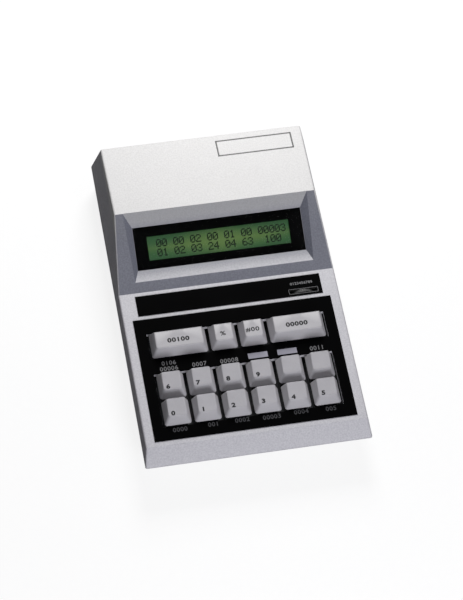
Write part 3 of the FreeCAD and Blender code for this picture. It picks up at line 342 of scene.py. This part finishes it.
window_clear, shader, place = new_finish(
    "window_clear", base_color=(0.01, 0.012, 0.012), specular_ior_level=0.12, alpha=0.06)
place.feed(shader.inputs["Roughness"], 0.10 + place.noise(9 * mm, 3.0) * 0.08)
wear(window_clear, "display_window")


# The characters on the display: dark liquid crystal in a matrix of small dots, five wide and seven
# high, on two lines of twenty-four. Each has a painted shadow: a dim green copy of its dots, shifted
# a little to the left and down the slope.
dot_rows = {
    "0": "01110 10001 10011 10101 11001 10001 01110", "1": "00100 01100 00100 00100 00100 00100 01110",
    "2": "01110 10001 00001 00110 01000 10000 11111", "3": "01110 10001 00001 00110 00001 10001 01110",
    "4": "00010 00110 01010 10010 11111 00010 00010", "5": "11111 10000 11110 00001 00001 10001 01110",
    "6": "00110 01000 10000 11110 10001 10001 01110", "7": "11111 00001 00010 00100 01000 01000 01000",
    "8": "01110 10001 10001 01110 10001 10001 01110", "9": "01110 10001 10001 01111 00001 00010 01100",
}
lines = (" 00 00 02 00 01 00 00003", " 01 02 03 24 04 63  100 ")
character_pitch, line_pitch = 3.72 * mm, 6.2 * mm
dot_pitch, dot_size = (0.66 * mm, 0.72 * mm), (0.65 * mm, 0.71 * mm, 0.06 * mm)
view_middle, glass_face = 28.6 * mm, -7.7 * mm      # up the slope, and out of it
shadow_shift = (-0.14 * mm, -0.12 * mm, -0.03 * mm)
slope_turn = Matrix.Translation((0, slope_foot, deck)) @ Matrix.Rotation(slope_angle, 4, "X")


def joined(pieces, name):
    bpy.ops.object.select_all(action="DESELECT")
    for piece in pieces:
        piece.select_set(True)
    bpy.context.view_layer.objects.active = pieces[0]
    bpy.ops.object.join()
    whole = bpy.context.object
    whole.name = name
    whole.data.name = name
    return whole


bpy.ops.object.select_all(action="DESELECT")
bpy.ops.mesh.primitive_cube_add(size=1.0, location=(0, 0, 0), scale=dot_size)
bpy.ops.object.transform_apply(scale=True)
dot = bpy.context.object
dots = []
for line, text in enumerate(lines):
    for column, character in enumerate(text):
        for row, pattern in enumerate(dot_rows.get(character, "").split()):
            for step, bit in enumerate(pattern):
                if bit == "1":
                    across = (column - 11.5) * character_pitch + (step - 2) * dot_pitch[0]
                    up = view_middle + (0.5 - line) * line_pitch + (3 - row) * dot_pitch[1]
                    seat = Matrix.Translation((across, up, glass_face + dot_size[2] / 2))
                    copy = dot.copy()
                    copy.data = dot.data.copy()
                    copy.data.transform(slope_turn @ seat)
                    bpy.context.scene.collection.objects.link(copy)
                    dots.append(copy)
bpy.data.objects.remove(dot)
characters = joined(dots, "display_characters")
# The painted shadow: a copy of the characters, shifted, in a dim green.
shadows = characters.copy()
shadows.data = characters.data.copy()
shadows.name = shadows.data.name = "character_shadows"
shadows.data.transform(slope_turn @ Matrix.Translation(shadow_shift) @ slope_turn.inverted())
bpy.context.scene.collection.objects.link(shadows)
for piece, name, dark, light in ((characters, "dark_crystal", (0.001, 0.004, 0.002), (0.002, 0.009, 0.003)),
                                 (shadows, "painted_shadow_green", (0.006, 0.020, 0.007), (0.010, 0.030, 0.010))):
    crystal, shader, place = new_finish(name, roughness=0.4, specular_ior_level=0.2)
    lay_finish(shader, place.noise(6 * mm, 2.0).blend(dark, light))
    wear(crystal, piece)
    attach(piece, "case")


# The contrast wheel: a ribbed disc of black nylon on the shaft of its potentiometer. It is reached
# with a fingertip through its slot.
wear(grained_plastic("wheel_nylon", light=(0.020, 0.020, 0.021), dark=(0.010, 0.010, 0.011),
                     grain=0.4 * mm, strength=0.3, roughness=0.42), "contrast_wheel")


# The overlays: two sheets of matt film, printed black. They are glued flat on the deck, one around
# the keys and one on the strip behind them.
film_light, film_dark = (0.0012, 0.0012, 0.0014), (0.0003, 0.0003, 0.0004)
film_black, shader, place = new_finish("film_black", specular_ior_level=0.008)
weave, dust = place.noise(0.45 * mm, 2.0), place.noise(25 * mm, 2.0)
lay_finish(shader, (weave * 0.5 + dust * 0.5).blend(film_dark, film_light), 0.42 + dust * 0.2,
           weave, 0.25, 0.05 * mm)
wear(film_black, "keypad_overlay", "strip_overlay")


# The printing on the films: grey ink in a plain number for each key's channel, and a row of digits
# and an outline at the contrast wheel's slot. Two blank paper tags are stuck between the rows.
def printed(body, size, weight, centre, stretch=1.0):
    """A flat word in raised ink, size high and widened by stretch, its strokes thickened by weight."""
    bpy.ops.object.select_all(action="DESELECT")
    bpy.ops.object.text_add(location=(0, 0, 0))
    letters = bpy.context.object.data
    letters.body = body
    letters.align_x, letters.align_y = "CENTER", "CENTER"
    letters.size = size * 1.33      # the font's digits stand about three quarters of its size high
    letters.extrude = 0.02 * mm
    letters.offset = weight
    letters.space_character = 1.12
    letters.resolution_u = 3
    bpy.ops.object.convert(target="MESH")
    word = bpy.context.object
    corners = [vertex.co for vertex in word.data.vertices]
    middle = [(min(c[i] for c in corners) + max(c[i] for c in corners)) / 2 for i in (0, 1)]
    word.data.transform(Matrix.Translation((-middle[0], -middle[1], 0)))
    word.data.transform(Matrix.Translation(centre) @ Matrix.Diagonal((stretch, 1, 1, 1)))
    return word


def bar(*limits):
    """A flat bar of ink or a tag, between its limits across, along and up."""
    bpy.ops.object.select_all(action="DESELECT")
    bpy.ops.mesh.primitive_cube_add(size=1.0, location=[(a + b) / 2 for a, b in limits],
                                    scale=[b - a for a, b in limits])
    bpy.ops.object.transform_apply(location=True, scale=True)
    return bpy.context.object


def outline(across, along, up, line):
    """Four bars round a rectangle, line wide."""
    (left, right), (near, far) = across, along
    return [bar(across, (near, near + line), up), bar(across, (far - line, far), up),
            bar((left, left + line), along, up), bar((right - line, right), along, up)]


deck_front, film_top = -103.9 * mm, 31.7 * mm
ink_middle = film_top + 0.01 * mm
number_size, number_weight = 3.2 * mm, 0.07 * mm
channel_numbers = (     # across, and back from the deck's front edge, in millimetres
    ("00006", -47.1, 53.3), ("0106", -46.6, 57.3), ("0007", -27.6, 53.6), ("00008", -8.6, 53.3),
    ("0011", 47.8, 54.0), ("0000", -47.3, 9.7), ("001", -26.6, 10.1), ("0002", -7.9, 10.4),
    ("00003", 10.7, 9.7), ("0004", 29.6, 10.5), ("005", 48.5, 9.9))
slot_digits, digit_size, digit_weight = ("0123456789", 47.4, 102.6), 2.0 * mm, 0.05 * mm
slot_across = (38.3 * mm, 57.5 * mm)
slot_along = (deck_front + 94.9 * mm, deck_front + 98.6 * mm)
slot_line = 0.22 * mm
ink_light, ink_dark = (0.26, 0.26, 0.27), (0.045, 0.045, 0.05)

ink = [printed(text, number_size, number_weight, (across * mm, deck_front + back * mm, ink_middle))
       for text, across, back in channel_numbers]
text, across, back = slot_digits
ink.append(printed(text, digit_size, digit_weight, (across * mm, deck_front + back * mm, ink_middle)))
ink += outline(slot_across, slot_along, (film_top - 0.01 * mm, film_top + 0.03 * mm), slot_line)
numbers = joined(ink, "panel_numbers")
grey_ink, shader, place = new_finish("grey_ink", roughness=0.6, specular_ior_level=0.15)
fade = place.along("Y").above(-70 * mm, 50 * mm)
lay_finish(shader, (fade * 0.8 + place.noise(0.8 * mm, 3.0) * 0.2).blend(ink_dark, ink_light))
wear(grey_ink, numbers)
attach(numbers, "case")

tag_spans = ((3.8 * mm, 16.4 * mm), (22.7 * mm, 35.25 * mm))
tag_along = (deck_front + 52.35 * mm, deck_front + 56.25 * mm)
tag_up = (film_top - 0.02 * mm, film_top + 0.10 * mm)
tag_light, tag_dark = (0.39, 0.385, 0.46), (0.29, 0.285, 0.36)
tags = joined([bar(span, tag_along, tag_up) for span in tag_spans], "blank_tags")
tag_paper, shader, place = new_finish("tag_paper", roughness=0.55)
lay_finish(shader, place.noise(0.6 * mm, 4.0).blend(tag_dark, tag_light))
wear(tag_paper, tags)
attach(tags, "case")


# The plate mark on the raised top: a frame printed in dark ink straight on the plastic, with
# nothing in it. It lies on the top's slight fall to the rear.
top_turn = Matrix.Translation((0, 54.7 * mm, 52.3 * mm)) @ Matrix.Rotation(-math.atan2(3.6, 53.8), 4, "X")
plate_across, plate_along = (8.7 * mm, 59.4 * mm), (36.2 * mm, 49.2 * mm)
plate_line = 1.0 * mm
plate_mark = joined(outline(plate_across, plate_along, (-0.02 * mm, 0.03 * mm), plate_line), "plate_mark")
plate_mark.data.transform(top_turn)
dark_ink, shader, place = new_finish("dark_ink", roughness=0.5)
lay_finish(shader, place.noise(0.8 * mm, 3.0).blend((0.010, 0.010, 0.011), (0.025, 0.025, 0.028)))
wear(dark_ink, plate_mark)
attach(plate_mark, "case")


# The keycaps: grey plastic with black legends, tapered from a square skirt to a slightly dished
# top, which leans to the front in the two digit rows. Each is hollow below and is pressed on the
# cross tip of its plunger.
cap_light, cap_dark = (0.55, 0.540, 0.565), (0.41, 0.402, 0.425)
cap_plastic, shader, place = new_finish("cap_plastic")
clouds, speck = place.noise(9 * mm, 2.0), place.noise(0.55 * mm, 4.0)
lay_finish(shader, (clouds * 0.4 + speck * 0.6).blend(cap_dark, cap_light), 0.42 + clouds * 0.12,
           speck, 0.35, 0.08 * mm)
legend_ink, shader, place = new_finish("legend_ink", roughness=0.5, specular_ior_level=0.3)
lay_finish(shader, place.noise(0.7 * mm, 3.0).blend((0.004, 0.004, 0.005), (0.014, 0.014, 0.017)))

key_pitch, skirt_half = 19.05 * mm, 8.425 * mm
skirt_low, crown = deck - 0.2 * mm, deck + 8.8 * mm
cap_tops = {    # half width, front edge, the front edge's height over the deck, rear edge
    "flat": (5.625 * mm, -6.1 * mm, 7.8 * mm, 5.35 * mm),
    "leaning": (5.80 * mm, -5.4 * mm, 6.3 * mm, 6.0 * mm),
}
front_round, rear_round, rim_round = 1.5 * mm, 0.9 * mm, 0.55 * mm
cap_wall, hollow_depth = 1.3 * mm, 5.0 * mm
dish_steps = ((0.94, 0.03 * mm), (0.86, 0.09 * mm), (0.80, 0.10 * mm), (0.70, 0.07 * mm), (0.50, 0.04 * mm))


def pick(kind, test):
    """Selects, in the open mesh, only the faces or edges whose middle and direction pass a test."""
    mesh = bmesh.from_edit_mesh(bpy.context.object.data)
    bpy.ops.mesh.select_all(action="DESELECT")
    bpy.ops.mesh.select_mode(type="FACE" if kind == "faces" else "EDGE")
    for part in getattr(mesh, kind):
        if kind == "faces":
            chosen = test(part.calc_center_median(), part.normal)
        else:
            a, b = (vertex.co for vertex in part.verts)
            chosen = test((a + b) / 2, (b - a).normalized())
        part.select_set(chosen)
    mesh.select_flush_mode()
    bmesh.update_edit_mesh(bpy.context.object.data)


def moulded_cap(name, kind, units):
    """One cap with its middle over the origin, from a block: taper, hollow, rounded edges and dish."""
    top_half, front, front_height, rear = cap_tops[kind]
    spread = (units - 1) * key_pitch / 2
    half = skirt_half + spread
    bpy.ops.object.select_all(action="DESELECT")
    bpy.ops.mesh.primitive_cube_add(size=1.0, location=(0, 0, (skirt_low + crown) / 2),
                                    scale=(2 * half, 2 * skirt_half, crown - skirt_low))
    bpy.ops.object.transform_apply(location=True, scale=True)
    cap = bpy.context.object
    cap.name = name
    bpy.ops.object.mode_set(mode="EDIT")

    # The taper: the top is drawn in, then its front edge is lowered and both its edges are moved.
    pick("faces", lambda middle, normal: normal.z > 0.9)
    bpy.ops.transform.resize(value=((top_half + spread) / half, 1, 1), center_override=(0, 0, crown))
    pick("edges", lambda middle, run: middle.z > crown - mm and middle.y < -5 * mm and abs(run.x) > 0.9)
    bpy.ops.transform.translate(value=(0, front + skirt_half, deck + front_height - crown))
    pick("edges", lambda middle, run: middle.z > crown - mm and middle.y > 5 * mm and abs(run.x) > 0.9)
    bpy.ops.transform.translate(value=(0, rear - skirt_half, 0))

    # The upright edges, then the hollow below.
    pick("edges", lambda middle, run: abs(run.z) > 0.5 and middle.y < 0)
    bpy.ops.mesh.bevel(offset=front_round, segments=5, affect="EDGES")
    pick("edges", lambda middle, run: abs(run.z) > 0.5 and middle.y > 6.99 * mm
         and abs(middle.x) > half - 3.5 * mm)
    bpy.ops.mesh.bevel(offset=rear_round, segments=4, affect="EDGES")
    pick("faces", lambda middle, normal: normal.z < -0.9)
    bpy.ops.mesh.inset(thickness=cap_wall)
    bpy.ops.mesh.extrude_region_move(TRANSFORM_OT_translate={"value": (0, 0, hollow_depth)})
    bpy.ops.transform.resize(value=((half - 2 * cap_wall) / (half - cap_wall), 0.83, 1),
                             center_override=(0, 0, skirt_low))

    # The rim and the dish: the top face goes down in rings that shrink about its middle.
    pick("faces", lambda middle, normal: normal.z > 0.9 and middle.z > crown - 4 * mm)
    bpy.ops.mesh.region_to_loop()
    bpy.ops.mesh.bevel(offset=rim_round, segments=4, affect="EDGES")
    pick("faces", lambda middle, normal: normal.z > 0.9 and middle.z > crown - 4 * mm)
    face = next(part for part in bmesh.from_edit_mesh(cap.data).faces if part.select)
    centre = face.calc_center_bounds()
    for shrink, drop in dish_steps:
        bpy.ops.mesh.extrude_region_move(TRANSFORM_OT_translate={"value": (0, 0, -drop)})
        bpy.ops.transform.resize(value=(shrink, shrink, shrink), center_override=centre)
    bpy.ops.mesh.select_all(action="SELECT")
    bpy.ops.mesh.normals_make_consistent(inside=False)
    bpy.ops.object.mode_set(mode="OBJECT")
    bpy.ops.object.shade_smooth_by_angle(angle=math.radians(38))
    return cap


def legend_on(mould, label, kind):
    """A printed legend whose every vertex is laid on the dished top of a cap."""
    x, y, size = (-0.6 * mm, -1.3 * mm, 3.0 * mm) if kind == "flat" else (-2.8 * mm, -3.4 * mm, 2.8 * mm)
    weight = 0.10 * mm if label[0] in "%#" else 0.20 * mm
    legend = printed(label, size, weight, (x, y, 0), stretch=1.28)
    bpy.ops.object.mode_set(mode="EDIT")
    bpy.ops.mesh.select_all(action="SELECT")
    bpy.ops.mesh.subdivide(number_cuts=2)
    bpy.ops.object.mode_set(mode="OBJECT")
    for vertex in legend.data.vertices:
        over = Vector((vertex.co.x, vertex.co.y, 2 * crown))
        _, point, _, _ = mould.ray_cast(over, Vector((0, 0, -1)))
        vertex.co.z += point.z + 0.01 * mm
    wear(legend_ink, legend)
    return legend


moulds = {
    ("flat", 1): moulded_cap("cap_single", "flat", 1),
    ("flat", 2): moulded_cap("cap_wide", "flat", 2),
    ("leaning", 1): moulded_cap("cap_leaning", "leaning", 1),
}
rows = {"top": 70.4 * mm, "middle": 40.75 * mm, "bottom": 21.7 * mm}      # back from the deck's front edge
keys = [("wide_left", -2.0, "top", 2, "00100"), ("percent", -0.5, "top", 1, "%"),
        ("hash", 0.5, "top", 1, "#00"), ("wide_right", 2.0, "top", 2, "00000")]
for column in range(6):
    keys.append((str(column), column - 2.5, "bottom", 1, str(column)))
    label = str(column + 6) if column < 4 else ""
    keys.append((label or ("blank_left", "blank_right")[column - 4], column - 2.5, "middle", 1, label))
for name, column, row, units, label in keys:
    kind = "flat" if row == "top" else "leaning"
    mould = moulds[(kind, units)]
    cap = mould.copy()
    cap.data = mould.data.copy()
    cap.name = cap.data.name = "cap_" + name
    bpy.context.scene.collection.objects.link(cap)
    wear(cap_plastic, cap)
    if label:
        cap = joined([cap, legend_on(mould, label, kind)], "cap_" + name)
    cap.data.transform(Matrix.Translation((column * key_pitch, deck_front + rows[row], 0)))
    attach(cap, "key_" + name)
    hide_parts("keycap_" + name)
for mould in moulds.values():
    bpy.data.objects.remove(mould)


# The power switch: a glossy black rocker in the rear panel. Its two states are moulded on the face
# in white, a bar for on and a ring for off.
wear(grained_plastic("rocker_gloss", light=(0.030, 0.030, 0.031), dark=(0.020, 0.020, 0.021),
                     grain=0.5 * mm, strength=0.1, roughness=0.28), "power_rocker")
rocker_middle = Vector((40.0 * mm, 140.0 * mm, 13.0 * mm))      # Y is well behind the rear panel
mark_shift = Vector((2.9 * mm, 0, 0))
bar_size, ring_radius, ring_line = (0.5 * mm, 2.6 * mm, 0.06 * mm), 1.0 * mm, 0.2 * mm
rocker = nodes["power_rocker"]
to_rocker = rocker.matrix_world.inverted()

bpy.ops.object.select_all(action="DESELECT")
bpy.ops.mesh.primitive_cube_add(size=1.0, location=(0, 0, 0), scale=bar_size)
bpy.ops.object.transform_apply(scale=True)
on_mark = bpy.context.object
bpy.ops.object.select_all(action="DESELECT")
bpy.ops.mesh.primitive_torus_add(major_radius=ring_radius, minor_radius=ring_line, major_segments=32,
                                 minor_segments=8, location=(0, 0, 0))
bpy.ops.transform.resize(value=(1, 1, 0.2), center_override=(0, 0, 0))
bpy.ops.object.transform_apply(scale=True)
off_mark = bpy.context.object
for state_mark, behind in ((on_mark, rocker_middle - mark_shift), (off_mark, rocker_middle + mark_shift)):
    _, point, normal, _ = rocker.ray_cast(to_rocker @ behind, to_rocker.to_3x3() @ Vector((0, -1, 0)))
    facing = normal.to_track_quat("Z", "Y").to_matrix().to_4x4()
    state_mark.data.transform(Matrix.Translation(point) @ facing)
state_marks = joined([on_mark, off_mark], "rocker_marks")
white_ink, shader, place = new_finish("white_ink", roughness=0.4)
lay_finish(shader, place.noise(0.5 * mm, 3.0).blend((0.66, 0.66, 0.64), (0.80, 0.80, 0.78)))
wear(white_ink, state_marks)
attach(state_marks, "power_rocker")


bpy.context.scene.view_settings.view_transform = "Standard"
